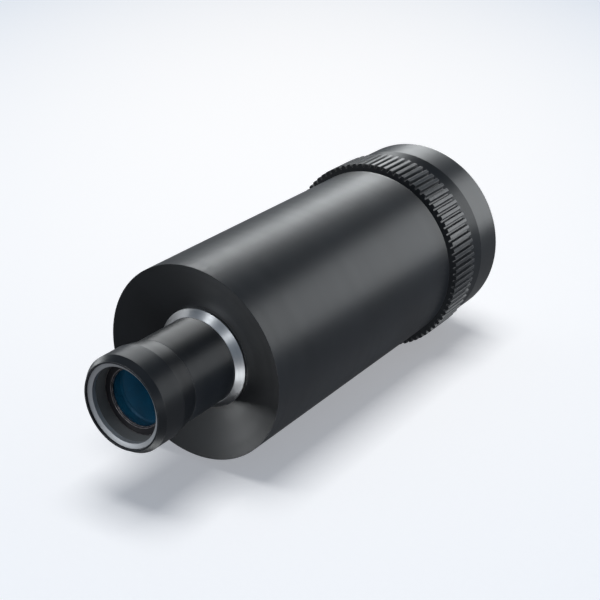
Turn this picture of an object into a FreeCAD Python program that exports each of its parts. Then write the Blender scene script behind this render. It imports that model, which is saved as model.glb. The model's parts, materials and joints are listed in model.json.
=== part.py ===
# Telecentric lens with a slim object-side nose, a plain barrel, a ribbed aperture ring
# that closes a six-blade iris, and a threaded camera mount at the rear.
# Frame: +Z is the optical axis, from the camera end up to the nose. The origin is the
# centre of the end of the camera thread, on which the lens can stand.
import FreeCAD, Part
import Sketcher
import math
import os

BLADE_COUNT = 6
SCREW_COUNT = 4
BAFFLE_COUNT = 3

doc = FreeCAD.newDocument("TelecentricLens")
sheet = doc.addObject("Spreadsheet::Sheet", "Sizes")
nodes = []


# Driving dimensions, in millimetres and degrees
DIMENSIONS = [
    ("slip_fit", 0.05, "radial gap of a part that slides or turns in another"),
    ("end_play", 0.05, "axial gap at each end of a part that turns"),
    # Camera mount
    ("mount_thread_radius", 21.0, "M42 x 1 camera thread, major radius"),
    ("mount_thread_length", 4.5, "thread length from the seating face"),
    ("mount_relief_depth", 0.8, "undercut at the foot of the thread"),
    ("mount_relief_length", 0.8, "undercut width"),
    ("mount_relief_sink", 0.3, "undercut into the seating face"),
    ("mount_relief_margin", 0.4, "undercut outside the thread"),
    ("mount_end_chamfer", 0.6, "lead-in of the thread"),
    ("mount_wall", 3.4, "wall inside the thread"),
    ("mount_flange_thickness", 2.7, "flange"),
    ("shim_thickness", 0.3, "back-focus shim"),
    ("shim_margin", 0.3, "back-focus shim outside the bore of the housing"),
    ("screw_wall", 0.75, "wall between the mount screws and the bore of the housing"),
    ("screw_margin", 1.35, "flange outside the screw heads"),
    ("screw_radius", 1.0, "M2 screw"),
    ("screw_head_radius", 1.9, "countersunk head"),
    ("screw_head_height", 0.95, "countersunk head"),
    ("screw_length", 7.0, "screw, head included"),
    ("socket_radius", 0.7, "hexagon socket, corner radius"),
    ("socket_depth", 0.6, "hexagon socket"),
    # Rear housing
    ("rear_wall", 3.1, "rear ring outside the mount flange"),
    ("rear_ring_length", 11.5, "smooth rear ring"),
    ("rear_edge_round", 1.0, "rounded rear edge"),
    ("rear_cone_length", 6.7, "cone between the rear ring and the aperture ring"),
    ("barrel_thread_step", 1.2, "thread for the rear housing below the bearing"),
    ("barrel_thread_length", 7.8, "thread joining barrel and rear housing"),
    # Aperture ring
    ("rib_height", 2.5, "top of the ribs above the barrel"),
    ("groove_depth", 1.15, "grooves between the ribs"),
    ("knurl_length", 12.5, "aperture ring with its end play"),
    ("knurl_count", 86, "ribs"),
    ("groove_top_width", 1.25, "groove at the top of the ribs"),
    ("groove_floor_width", 0.45, "groove at its floor"),
    ("journal_depth", 1.6, "bearing of the aperture ring below the barrel"),
    ("ring_turn_angle", 45, "turn of the aperture ring from open to closed"),
    ("washer_width", 1.2, "friction washer"),
    ("washer_thickness", 0.4, "friction washer"),
    ("keyway_depth", 1.5, "keyway in the bore of the aperture ring"),
    # Barrel
    ("body_radius", 29.0, "plain barrel"),
    ("body_length", 95.0, "plain barrel, visible length"),
    ("dish_depth", 5.0, "dished front face"),
    ("thread_wall", 1.6, "wall inside the barrel's rear thread"),
    ("iris_shoulder", 1.2, "shoulder that the iris seats on"),
    ("iris_seat_depth", 1.3, "iris seat behind the front of the aperture ring"),
    ("front_wall", 7.4, "wall between the dished face and the bore"),
    # Iris
    ("iris_plate_thickness", 2.0, "pivot plate"),
    ("iris_wall", 1.0, "wall of the iris housing"),
    ("pivot_inset", 2.65, "blade pivots inside the wall of the iris housing"),
    ("pin_radius", 0.5, "blade pins"),
    ("pivot_pin_depth", 1.6, "pivot pin in the plate"),
    ("lever_length", 3.3, "pivot pin to drive pin of a blade"),
    ("lever_width", 1.9, "lever of a blade"),
    ("eye_radius", 1.4, "eye round the pivot pin"),
    ("blade_inset", 1.3, "outer edge of the open leaf inside the pivots"),
    ("blade_width", 7.2, "leaf"),
    ("blade_angle", 128, "length of the leaf round its arc"),
    ("blade_swing", 26, "turn of a blade from open to closed"),
    ("blade_thickness", 0.25, "leaf"),
    ("blade_gap", 0.1, "gap between leaves"),
    ("plate_margin", 0.2, "opening of the pivot plate outside the open leaves"),
    ("cam_margin", 0.6, "opening of the cam ring outside that of the plate"),
    ("cam_thickness", 3.2, "cam ring"),
    ("slot_play", 0.1, "gap beside a drive pin in its slot"),
    ("drive_pin_depth", 2.6, "blade drive pin in the cam ring"),
    ("ring_pin_radius", 1.0, "radial pin from the cam ring to the aperture ring"),
    ("ring_pin_grip", 3.2, "length of that pin in the cam ring"),
    ("spare_turn_angle", 4.0, "spare turn at each end of the barrel slot"),
    ("snap_ring_thickness", 0.8, "snap ring"),
    ("snap_ring_width", 1.15, "snap ring inside the wall of the iris housing"),
    ("snap_ring_groove", 0.4, "depth of its groove"),
    ("iris_lip", 0.8, "iris housing behind the snap ring"),
    ("iris_retainer_length", 2.5, "threaded ring that holds the iris"),
    ("iris_retainer_width", 3.55, "threaded ring that holds the iris"),
    # Threaded rings
    ("spanner_slot_width", 1.2, "slot for a spanner across a threaded ring"),
    ("spanner_slot_depth", 0.5, "slot for a spanner across a threaded ring"),
    # Rear lens group
    ("rear_lip_thickness", 1.0, "lip at the foot of the rear cell"),
    ("rear_cell_wall", 2.8, "rear cell"),
    ("rear_cell_depth", 6.0, "rear cell behind its flange"),
    ("rear_cell_top", 6.2, "rear cell in front of its seat"),
    ("rear_flange_width", 1.8, "flange of the rear cell"),
    ("rear_flange_gap", 0.3, "flange of the rear cell inside the barrel"),
    ("rear_flange_thickness", 1.6, "flange of the rear cell"),
    ("rear_rim", 1.8, "covered rim of the rear lenses"),
    ("rear_meniscus_edge", 2.6, "edge of the rearmost lens"),
    ("rear_meniscus_back_sag", 1.8, "rearmost lens, convex to the camera"),
    ("rear_meniscus_front_sag", 0.9, "rearmost lens, hollow front"),
    ("rear_spacer_length", 1.4, "spacer"),
    ("rear_flint_edge", 3.0, "flint of the rear doublet"),
    ("rear_flint_back_sag", 0.7, "flint of the rear doublet, hollow back"),
    ("rear_cement_sag", 1.9, "cemented face of the rear doublet"),
    ("rear_crown_edge", 2.6, "crown of the rear doublet"),
    ("rear_crown_front_sag", 1.6, "crown of the rear doublet"),
    # Relay group in the barrel
    ("baffle_retainer_length", 3.2, "threaded ring behind the baffle tube"),
    ("baffle_tube_wall", 1.4, "baffle tube"),
    ("baffle_pitch", 14.0, "distance between baffle edges"),
    ("baffle_height", 4.95, "baffle edges inside the tube"),
    ("relay_cell_length", 22.0, "relay cell"),
    ("relay_cell_wall", 3.8, "relay cell"),
    ("relay_rim", 1.9, "covered rim of the relay lenses"),
    ("relay_lip_thickness", 2.4, "front lip of the relay cell"),
    ("relay_crown_edge", 3.0, "crown of the relay doublet"),
    ("relay_crown_sag", 2.0, "crown of the relay doublet"),
    ("relay_cement_sag", 2.4, "cemented face of the relay doublet"),
    ("relay_flint_edge", 4.2, "flint of the relay doublet"),
    ("relay_flint_sag", 0.8, "flint of the relay doublet"),
    ("relay_spacer_length", 4.0, "spacer"),
    ("relay_meniscus_edge", 2.8, "single lens of the relay group"),
    ("relay_meniscus_sag", 1.5, "single lens of the relay group"),
    # Nose
    ("nose_length", 29.8, "nose in front of the barrel edge"),
    ("nose_tube_radius", 12.7, "nose tube"),
    ("nose_thread_step", 1.2, "thread of the nose tube in the barrel"),
    ("nose_wall", 2.9, "nose tube"),
    ("nose_rim", 1.5, "covered rim of the nose lenses, with their play"),
    ("nose_lip_thickness", 1.5, "lip at the rear of the nose tube"),
    ("collar_width", 2.0, "bare metal collar, with its play on the tube"),
    ("collar_length", 2.8, "bare metal collar"),
    ("collar_bevel_length", 2.1, "broad bevel of the collar"),
    ("collar_bevel_depth", 1.75, "broad bevel of the collar"),
    ("nose_flint_edge", 2.6, "flint of the nose doublet"),
    ("nose_flint_sag", 0.5, "flint of the nose doublet, hollow back"),
    ("nose_cement_sag", 1.1, "cemented face of the nose doublet"),
    ("nose_crown_edge", 2.2, "crown of the nose doublet"),
    ("nose_crown_sag", 0.8, "crown of the nose doublet"),
    ("nose_retainer_length", 2.0, "threaded ring at the front of the nose tube"),
    # Nose cap
    ("cap_length", 15.1, "nose cap"),
    ("cap_cone_length", 6.0, "cone at the foot of the cap"),
    ("cap_step", 1.2, "nose cap outside the tube"),
    ("cap_bevel_length", 1.9, "front bevel of the cap"),
    ("cap_bevel_depth", 1.3, "front bevel of the cap"),
    ("cap_thread_step", 1.0, "thread of the cap inside the tube's outside"),
    ("cap_thread_length", 6.2, "thread of the cap on the tube"),
    ("cap_lip_thickness", 0.9, "lip behind the front lens"),
    ("insert_inset", 1.8, "bare metal insert ring inside the cap's outside"),
    ("insert_width", 1.25, "bare metal insert ring"),
    ("insert_length", 1.8, "bare metal insert ring"),
    ("insert_recess", 0.6, "insert ring behind the cap's front"),
    ("insert_slope", 0.5, "inward slope of the insert ring"),
    ("mouth_flare", 0.15, "flared mouth, from the front lens to the insert ring"),
    ("front_lens_step", 0.6, "front lens inside the narrow end of the mouth"),
    ("front_lens_edge", 1.5, "front lens"),
    ("front_lens_sag", 0.9, "front lens"),
    ("front_lens_back_sag", 0.4, "front lens, hollow back"),
    ("front_retainer_length", 0.75, "threaded ring over the front lens"),
    ("front_retainer_chamfer", 0.2, "outer edge of that ring"),
    ("front_retainer_bevel", 0.35, "inner edge of that ring"),
    ("front_rim", 1.9, "covered rim of the front lens"),
]

for row, (alias, number, note) in enumerate(DIMENSIONS, start=1):
    sheet.set("A%d" % row, alias)
    sheet.set("B%d" % row, str(number))
    sheet.set("C%d" % row, note)
    sheet.setAlias("B%d" % row, alias)
doc.recompute()


def number(expression):
    """Value of an expression over the sheet, as a plain number."""
    result = sheet.evalExpression(expression)
    return float(getattr(result, "Value", result))


def origin_plane(body, role):
    """Plane of a body's own origin, found by its role."""
    return next(item for item in body.Origin.OriginFeatures if item.Role == role)


def arc_through(start, end, centre_x):
    """Short arc between two points of a section, centred on the line x = centre_x."""
    r1, z1 = start[0] - centre_x, start[1]
    r2, z2 = end[0] - centre_x, end[1]
    centre_z = (r2 * r2 - r1 * r1 + z2 * z2 - z1 * z1) / (2 * (z2 - z1))
    radius = math.hypot(r1, z1 - centre_z)
    angles = [math.atan2(z1 - centre_z, r1), math.atan2(z2 - centre_z, r2)]
    if (angles[1] - angles[0]) % (2 * math.pi) > math.pi:
        angles.reverse()
    circle = Part.Circle(FreeCAD.Vector(centre_x, centre_z, 0), FreeCAD.Vector(0, 0, 1), radius)
    return Part.ArcOfCircle(circle, *angles)


def bind(sketch, kind, geometry, end, expression):
    """Ties one coordinate of a sketch point to an expression."""
    if expression == "0":
        axis = -2 if kind == "DistanceX" else -1
        sketch.addConstraint(Sketcher.Constraint("PointOnObject", geometry, end, axis))
        return
    index = sketch.addConstraint(
        Sketcher.Constraint(kind, -1, 1, geometry, end, number(expression)))
    sketch.setExpression("Constraints[%d]" % index, expression)


def turned(label, outline):
    """Body turned about the optical axis from a closed half section.

    Each outline point is (radius, height), or (radius, height, centre radius) where the
    edge that arrives at it is an arc centred at that radius.
    """
    body = doc.addObject("PartDesign::Body", label)
    sketch = body.newObject("Sketcher::SketchObject", label + "_section")
    sketch.AttachmentSupport = [(origin_plane(body, "XZ_Plane"), "")]
    sketch.MapMode = "FlatFace"
    corners = [(number(point[0]), number(point[1])) for point in outline]
    ends = []
    for index, corner in enumerate(corners):
        arrival = outline[index]
        before = corners[index - 1]
        if len(arrival) == 3:
            edge = arc_through(before, corner, number(arrival[2]))
        else:
            edge = Part.LineSegment(FreeCAD.Vector(*before, 0), FreeCAD.Vector(*corner, 0))
        geometry = sketch.addGeometry(edge, False)
        drawn = sketch.Geometry[geometry].StartPoint
        forward = math.hypot(drawn.x - before[0], drawn.y - before[1]) < 1e-6
        ends.append((geometry, 1, 2) if forward else (geometry, 2, 1))
    for index, (geometry, first, last) in enumerate(ends):
        following = ends[(index + 1) % len(ends)]
        sketch.addConstraint(
            Sketcher.Constraint("Coincident", geometry, last, following[0], following[1]))
        bind(sketch, "DistanceX", geometry, last, outline[index][0])
        bind(sketch, "DistanceY", geometry, last, outline[index][1])
        if len(outline[index]) == 3:
            bind(sketch, "DistanceX", geometry, 3, outline[index][2])
    turn = body.newObject("PartDesign::Revolution", label + "_turned")
    turn.Profile = sketch
    turn.ReferenceAxis = (sketch, ["V_Axis"])
    turn.Angle = 360
    sketch.Visibility = False
    return body


def ring(label, inner, outer, bottom, top):
    """Plain ring, from its radii and its two ends."""
    return turned(label, [(inner, bottom), (outer, bottom), (outer, top), (inner, top)])


def lens(label, radius, bottom, top, bottom_sag, top_sag, bottom_clear=None, top_clear=None):
    """Round lens. bottom and top are the heights of its rim faces. A positive sag bulges
    outwards and a negative one is hollow. A clear radius leaves a flat rim round the curve."""
    bottom_clear = bottom_clear or radius
    top_clear = top_clear or radius
    outline = [("0", "%s - (%s)" % (bottom, bottom_sag)), (bottom_clear, bottom, "0")]
    if bottom_clear != radius:
        outline.append((radius, bottom))
    outline.append((radius, top))
    if top_clear != radius:
        outline.append((top_clear, top))
    outline.append(("0", "%s + (%s)" % (top, top_sag), "0"))
    return turned(label, outline)


def cylinder(label, radius, height, bottom, angle=None, x=None, y=None):
    """Upright cylinder, or a sector of one, standing at height bottom."""
    item = doc.addObject("Part::Cylinder", label)
    item.setExpression("Radius", radius)
    item.setExpression("Height", height)
    item.setExpression("Placement.Base.z", bottom)
    if angle:
        item.setExpression("Angle", angle)
    if x:
        item.setExpression("Placement.Base.x", x)
    if y:
        item.setExpression("Placement.Base.y", y)
    return item


def box(label, length, width, height, x, y, z):
    """Box along the axes with its lowest corner at x, y, z."""
    item = doc.addObject("Part::Box", label)
    for name, value in (("Length", length), ("Width", width), ("Height", height),
                        ("Placement.Base.x", x), ("Placement.Base.y", y), ("Placement.Base.z", z)):
        item.setExpression(name, value)
    return item


def cut(label, base, tool):
    result = doc.addObject("Part::Cut", label)
    result.Base = base
    result.Tool = tool
    return result


def fuse(label, parts):
    result = doc.addObject("Part::MultiFuse", label)
    result.Shapes = parts
    result.Refine = True
    return result


def around(label, count, make):
    """Copies of a piece spaced evenly about the axis, as one tool."""
    copies = []
    for index in range(count):
        piece = make("%s_%d" % (label, index + 1))
        holder = doc.addObject("Part::Compound", "%s_at_%d" % (label, index + 1))
        holder.Links = [piece]
        holder.setExpression("Placement.Rotation.Angle", "%d * 360 deg / %d" % (index, count))
        copies.append(holder)
    group = doc.addObject("Part::Compound", label)
    group.Links = copies
    return group


# Stations along the axis, from the end of the camera thread to the front of the nose
seat = "Sizes.mount_thread_length"
cone_back = "(%s + Sizes.rear_ring_length)" % seat
ring_back = "(%s + Sizes.rear_cone_length)" % cone_back
ring_front = "(%s + Sizes.knurl_length)" % ring_back
body_front = "(%s + Sizes.body_length)" % ring_front
dish_floor = "(%s - Sizes.dish_depth)" % body_front
nose_front = "(%s + Sizes.nose_length)" % body_front
barrel_end = "(%s - Sizes.barrel_thread_length)" % ring_back
iris_seat = "(%s - Sizes.iris_seat_depth)" % ring_front
relay_seat = "(%s - Sizes.front_wall)" % dish_floor

# Stations of the iris, from its pivot plate towards the camera
plate_back = "(%s - Sizes.iris_plate_thickness)" % iris_seat
leaf_pitch = "(Sizes.blade_thickness + Sizes.blade_gap)"
cam_front = "(%s - Sizes.blade_gap - %d * %s)" % (plate_back, BLADE_COUNT, leaf_pitch)
cam_back = "(%s - Sizes.cam_thickness)" % cam_front
snap_front = "(%s - Sizes.end_play)" % cam_back
snap_back = "(%s - Sizes.snap_ring_thickness)" % snap_front
iris_end = "(%s - Sizes.iris_lip)" % snap_back
ring_pin_height = "(%s - Sizes.cam_thickness / 2)" % cam_front

# Radii of the barrel, from the outside in
rib_top = "(Sizes.body_radius + Sizes.rib_height)"
journal = "(Sizes.body_radius - Sizes.journal_depth)"
barrel_thread = "(%s - Sizes.barrel_thread_step)" % journal
iris_bore = "(%s - Sizes.thread_wall)" % barrel_thread
barrel_bore = "(%s - Sizes.iris_shoulder)" % iris_bore

# Radii of the iris, from the outside in
iris_outer = "(%s - Sizes.slip_fit)" % iris_bore
iris_inner = "(%s - Sizes.iris_wall)" % iris_outer
cam_outer = "(%s - Sizes.slip_fit)" % iris_inner
pivot_circle = "(%s - Sizes.pivot_inset)" % iris_inner
blade_outer = "(%s - Sizes.blade_inset)" % pivot_circle
blade_inner = "(%s - Sizes.blade_width)" % blade_outer
iris_opening = "(%s + Sizes.plate_margin)" % blade_inner
slot_half = "(Sizes.ring_pin_radius + Sizes.slot_play)"

# Radii of the rear: the cell fits the barrel, and the mount flange fits round its screws
cell_flange = "(%s - Sizes.rear_flange_gap)" % iris_bore
cell_bore = "(%s - Sizes.rear_flange_width)" % cell_flange
cell_outer = "(%s - Sizes.slip_fit)" % cell_bore
screw_circle = "(%s + Sizes.screw_wall + Sizes.screw_radius)" % cell_bore
mount_flange = "(%s + Sizes.screw_head_radius + Sizes.screw_margin)" % screw_circle
flange_recess = "(%s + Sizes.slip_fit)" % mount_flange
rear_ring = "(%s + Sizes.rear_wall)" % mount_flange

# Radii of the nose
nose_thread = "(Sizes.nose_tube_radius - Sizes.nose_thread_step)"
nose_bore = "(Sizes.nose_tube_radius - Sizes.nose_wall)"
nose_clear = "(%s - Sizes.nose_rim)" % nose_bore
collar_outer = "(Sizes.nose_tube_radius + Sizes.collar_width)"
collar_bore = "(Sizes.nose_tube_radius + Sizes.slip_fit)"
cap_outer = "(Sizes.nose_tube_radius + Sizes.cap_step)"
cap_thread = "(Sizes.nose_tube_radius - Sizes.cap_thread_step)"


# Camera mount: thread, undercut and flange turned from one piece of steel
flange_front = "(%s + Sizes.mount_flange_thickness)" % seat
mount_bore = "(Sizes.mount_thread_radius - Sizes.mount_wall)"
relief_bottom = "(%s - Sizes.mount_relief_length)" % seat
relief_radius = "(Sizes.mount_thread_radius - Sizes.mount_relief_depth)"
relief_top = "(%s + Sizes.mount_relief_sink)" % seat
land_inner = "(Sizes.mount_thread_radius + Sizes.mount_relief_margin)"
mount_blank = turned("mount_ring_blank", [
    (mount_bore, "0"),
    ("Sizes.mount_thread_radius - Sizes.mount_end_chamfer", "0"),
    ("Sizes.mount_thread_radius", "Sizes.mount_end_chamfer"),
    ("Sizes.mount_thread_radius", relief_bottom),
    (relief_radius, relief_bottom),
    (relief_radius, relief_top),
    (land_inner, relief_top),
    (land_inner, seat),
    (mount_flange, seat),
    (mount_flange, flange_front),
    (mount_bore, flange_front),
])


def cone(label, bottom_radius, top_radius, height, bottom, x):
    item = doc.addObject("Part::Cone", label)
    for name, value in (("Radius1", bottom_radius), ("Radius2", top_radius), ("Height", height),
                        ("Placement.Base.z", bottom), ("Placement.Base.x", x)):
        item.setExpression(name, value)
    return item


def countersunk_hole(label):
    shank = cylinder(label + "_shank", "Sizes.screw_radius + Sizes.slip_fit",
                     "Sizes.mount_flange_thickness", seat, x=screw_circle)
    sink = cone(label + "_sink", "Sizes.screw_head_radius + Sizes.slip_fit",
                "Sizes.screw_radius + Sizes.slip_fit", "Sizes.screw_head_height",
                seat, screw_circle)
    return fuse(label, [shank, sink])


nodes.append(cut("mount_ring", mount_blank,
                 around("countersunk_holes", SCREW_COUNT, countersunk_hole)))


# Back-focus shim: a thin ring under the flange, pierced by the screws
shim_front = "(%s + Sizes.shim_thickness)" % flange_front
shim_blank = ring("back_focus_shim_blank", "%s + Sizes.shim_margin" % cell_bore, mount_flange,
                  flange_front, shim_front)


def shim_hole(label):
    return cylinder(label, "Sizes.screw_radius + Sizes.slot_play",
                    "Sizes.shim_thickness", flange_front, x=screw_circle)


nodes.append(cut("back_focus_shim", shim_blank, around("shim_holes", SCREW_COUNT, shim_hole)))


# Mount screws: countersunk, with a hexagon socket, flush with the seating face
def mount_screw(label):
    head = cone(label + "_head", "Sizes.screw_head_radius", "Sizes.screw_radius",
                "Sizes.screw_head_height", seat, screw_circle)
    shank = cylinder(label + "_shank", "Sizes.screw_radius", "Sizes.screw_length", seat,
                     x=screw_circle)
    socket = doc.addObject("Part::Prism", label + "_socket")
    socket.Polygon = 6
    socket.setExpression("Circumradius", "Sizes.socket_radius")
    socket.setExpression("Height", "Sizes.socket_depth")
    socket.setExpression("Placement.Base.x", screw_circle)
    socket.setExpression("Placement.Base.z", seat)
    return cut(label, fuse(label + "_blank", [head, shank]), socket)


nodes.append(around("mount_screws", SCREW_COUNT, mount_screw))


# Rear housing: the smooth rear ring and the dark cone, turned in one piece, with a
# recess for the mount flange, a bore for the rear cell and a thread for the barrel
housing_blank = turned("rear_housing_blank", [
    (flange_recess, seat),
    ("%s - Sizes.rear_edge_round" % rear_ring, seat),
    (rear_ring, "%s + Sizes.rear_edge_round" % seat, "%s - Sizes.rear_edge_round" % rear_ring),
    (rear_ring, cone_back),
    ("Sizes.body_radius", ring_back),
    ("%s + Sizes.slip_fit" % barrel_thread, ring_back),
    ("%s + Sizes.slip_fit" % barrel_thread, barrel_end),
    (cell_bore, barrel_end),
    (cell_bore, shim_front),
    (flange_recess, shim_front),
])


def tapped_hole(label):
    return cylinder(label, "Sizes.screw_radius + Sizes.slip_fit",
                    "Sizes.screw_length", seat, x=screw_circle)


nodes.append(cut("rear_housing", housing_blank, around("tapped_holes", SCREW_COUNT, tapped_hole)))


# Rear cell: a tube screwed into the housing until its flange seats on the shoulder
cell_foot = "(%s - Sizes.rear_cell_depth)" % barrel_end
rear_lip_front = "(%s + Sizes.rear_lip_thickness)" % cell_foot
rear_flange_front = "(%s + Sizes.rear_flange_thickness)" % barrel_end
rear_cell_front = "(%s + Sizes.rear_cell_top)" % barrel_end
rear_cell_inner = "(%s - Sizes.rear_cell_wall)" % cell_outer
rear_glass = "(%s - Sizes.slip_fit)" % rear_cell_inner
rear_clear = "(%s - Sizes.rear_rim)" % rear_glass
nodes.append(turned("rear_cell", [
    (rear_clear, cell_foot),
    (cell_outer, cell_foot),
    (cell_outer, barrel_end),
    (cell_flange, barrel_end),
    (cell_flange, rear_flange_front),
    (cell_outer, rear_flange_front),
    (cell_outer, rear_cell_front),
    (rear_cell_inner, rear_cell_front),
    (rear_cell_inner, rear_lip_front),
    (rear_clear, rear_lip_front),
]))


def threaded_ring(label, inner, outer, bottom, top, slots_up):
    """Retaining ring with two spanner slots across its free end."""
    blank = ring(label + "_blank", inner, outer, bottom, top)
    free_end = "%s - Sizes.spanner_slot_depth" % top if slots_up else bottom
    slots = box(label + "_slots", "2 * %s" % outer, "Sizes.spanner_slot_width",
                "Sizes.spanner_slot_depth", "-%s" % outer, "-Sizes.spanner_slot_width / 2", free_end)
    return cut(label, blank, slots)


# Rear lenses: a meniscus next to the camera, a spacer, and a cemented doublet
meniscus_front = "(%s + Sizes.rear_meniscus_edge)" % rear_lip_front
spacer_front = "(%s + Sizes.rear_spacer_length)" % meniscus_front
flint_front = "(%s + Sizes.rear_flint_edge)" % spacer_front
crown_front = "(%s + Sizes.rear_crown_edge)" % flint_front
nodes.append(lens("rear_meniscus", rear_glass, rear_lip_front, meniscus_front,
                  "Sizes.rear_meniscus_back_sag", "-Sizes.rear_meniscus_front_sag",
                  rear_clear, rear_clear))
nodes.append(ring("rear_spacer", rear_clear, rear_glass, meniscus_front, spacer_front))
nodes.append(lens("rear_flint", rear_glass, spacer_front, flint_front,
                  "-Sizes.rear_flint_back_sag", "-Sizes.rear_cement_sag", bottom_clear=rear_clear))
nodes.append(lens("rear_crown", rear_glass, flint_front, crown_front,
                  "Sizes.rear_cement_sag", "Sizes.rear_crown_front_sag", top_clear=rear_clear))
nodes.append(threaded_ring("rear_retainer", rear_clear, rear_glass, crown_front, rear_cell_front,
                           slots_up=True))


# Main barrel: one turned tube with a dished front, a bearing for the aperture ring, a
# seat for the iris and a slot through which the ring pin turns the cam ring
barrel_blank = turned("main_barrel_blank", [
    (iris_bore, barrel_end),
    (barrel_thread, barrel_end),
    (barrel_thread, ring_back),
    (journal, ring_back),
    (journal, ring_front),
    ("Sizes.body_radius", ring_front),
    ("Sizes.body_radius", body_front),
    (collar_outer, dish_floor),
    (nose_thread, dish_floor),
    (nose_thread, relay_seat),
    (barrel_bore, relay_seat),
    (barrel_bore, iris_seat),
    (iris_bore, iris_seat),
])


def pin_slot(label, radius):
    """Sector that clears the ring pin over its whole travel."""
    sector = cylinder(label, radius, "2 * %s" % slot_half, "%s - %s" % (ring_pin_height, slot_half),
                      angle="Sizes.ring_turn_angle + 2 * Sizes.spare_turn_angle")
    sector.setExpression("Placement.Rotation.Angle", "-Sizes.spare_turn_angle")
    return sector


nodes.append(cut("main_barrel", barrel_blank, pin_slot("barrel_slot", "Sizes.body_radius")))


# Aperture ring: a ribbed ring that turns on the barrel between its shoulder and the
# rear housing, with a recess for the friction washer and a keyway for the ring pin
washer_front = "(%s + Sizes.washer_thickness)" % ring_back
washer_outer = "(%s + Sizes.washer_width)" % journal
ring_bore = "(%s + Sizes.slip_fit)" % journal
ring_bottom = "(%s + Sizes.end_play)" % ring_back
ring_top = "(%s - Sizes.end_play)" % ring_front
ring_blank = turned("aperture_ring_blank", [
    ("%s + Sizes.slip_fit" % washer_outer, ring_bottom),
    (rib_top, ring_bottom),
    (rib_top, ring_top),
    (ring_bore, ring_top),
    (ring_bore, "%s + Sizes.end_play" % washer_front),
    ("%s + Sizes.slip_fit" % washer_outer, "%s + Sizes.end_play" % washer_front),
])
groove_section = ring_blank.newObject("Sketcher::SketchObject", "groove_section")
groove_section.AttachmentSupport = [(origin_plane(ring_blank, "XY_Plane"), "")]
groove_section.MapMode = "FlatFace"
groove_section.setExpression("AttachmentOffset.Base.z", ring_back)
groove_floor = "%s - Sizes.groove_depth" % rib_top
groove_corners = [
    (groove_floor, "Sizes.groove_floor_width / 2", -1),
    (groove_floor, "Sizes.groove_floor_width / 2", 1),
    (rib_top, "Sizes.groove_top_width / 2", 1),
    (rib_top, "Sizes.groove_top_width / 2", -1),
]
corner_points = [FreeCAD.Vector(number(x), side * number(y), 0) for x, y, side in groove_corners]
for index in range(4):
    groove_section.addGeometry(Part.LineSegment(corner_points[index - 1], corner_points[index]))
for index, (x, y, side) in enumerate(groove_corners):
    groove_section.addConstraint(
        Sketcher.Constraint("Coincident", index, 2, (index + 1) % 4, 1))
    bind(groove_section, "DistanceX", index, 2, x)
    bind(groove_section, "DistanceY", index, 2, y if side > 0 else "-" + y)
doc.recompute()
solid_volume = ring_blank.Shape.Volume
groove = ring_blank.newObject("PartDesign::Pocket", "groove")
groove.Profile = groove_section
groove.Type = "Length"
groove.setExpression("Length", "Sizes.knurl_length")
groove.Reversed = True
groove_section.Visibility = False
doc.recompute()
if not ring_blank.Shape.Volume < solid_volume:
    raise RuntimeError("the groove cuts nothing")
ribs = ring_blank.newObject("PartDesign::PolarPattern", "ribs")
ribs.Originals = [groove]
ribs.Axis = (groove_section, ["N_Axis"])
ribs.Angle = 360
ribs.setExpression("Occurrences", "Sizes.knurl_count")
ring_blank.Tip = ribs
keyway_end = "(%s + Sizes.keyway_depth)" % journal
keyway = box("keyway", keyway_end, "2 * (Sizes.ring_pin_radius + Sizes.slip_fit)",
             "%s - %s + Sizes.ring_pin_radius" % (ring_front, ring_pin_height),
             "0", "-Sizes.ring_pin_radius - Sizes.slip_fit",
             "%s - Sizes.ring_pin_radius - Sizes.slip_fit" % ring_pin_height)
nodes.append(cut("aperture_ring", ring_blank, keyway))

# Friction washer: a thin plastic ring that keeps the aperture ring from drifting
nodes.append(ring("friction_washer", journal, washer_outer, ring_back, washer_front))


# Iris housing: a cup with the pivot plate at its front and the cam ring in its mouth
iris_blank = turned("iris_housing_blank", [
    (iris_inner, iris_end),
    (iris_outer, iris_end),
    (iris_outer, iris_seat),
    (iris_opening, iris_seat),
    (iris_opening, plate_back),
    (iris_inner, plate_back),
    (iris_inner, snap_front),
    ("%s + Sizes.snap_ring_groove" % iris_inner, snap_front),
    ("%s + Sizes.snap_ring_groove" % iris_inner, snap_back),
    (iris_inner, snap_back),
])
first_pivot = ("Sizes.ring_turn_angle * 1 deg / 2 + atan(Sizes.lever_length / %s)"
               " - 180 deg / %d" % (pivot_circle, BLADE_COUNT))


def pivot_hole(label):
    return cylinder(label, "Sizes.pin_radius + Sizes.slip_fit", "Sizes.iris_plate_thickness",
                    plate_back, x=pivot_circle)


pivot_holes = around("pivot_holes", BLADE_COUNT, pivot_hole)
pivot_holes.setExpression("Placement.Rotation.Angle", first_pivot)
nodes.append(cut("iris_housing", cut("iris_housing_drilled", iris_blank, pivot_holes),
                 pin_slot("iris_slot", iris_bore)))


# Iris blades: thin leaves, each in a plane of its own, with a pivot pin up into the
# plate and, on a short lever, a drive pin down into a slot of the cam ring
lever_angle = "(-90 - Sizes.blade_swing / 2)"


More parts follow.
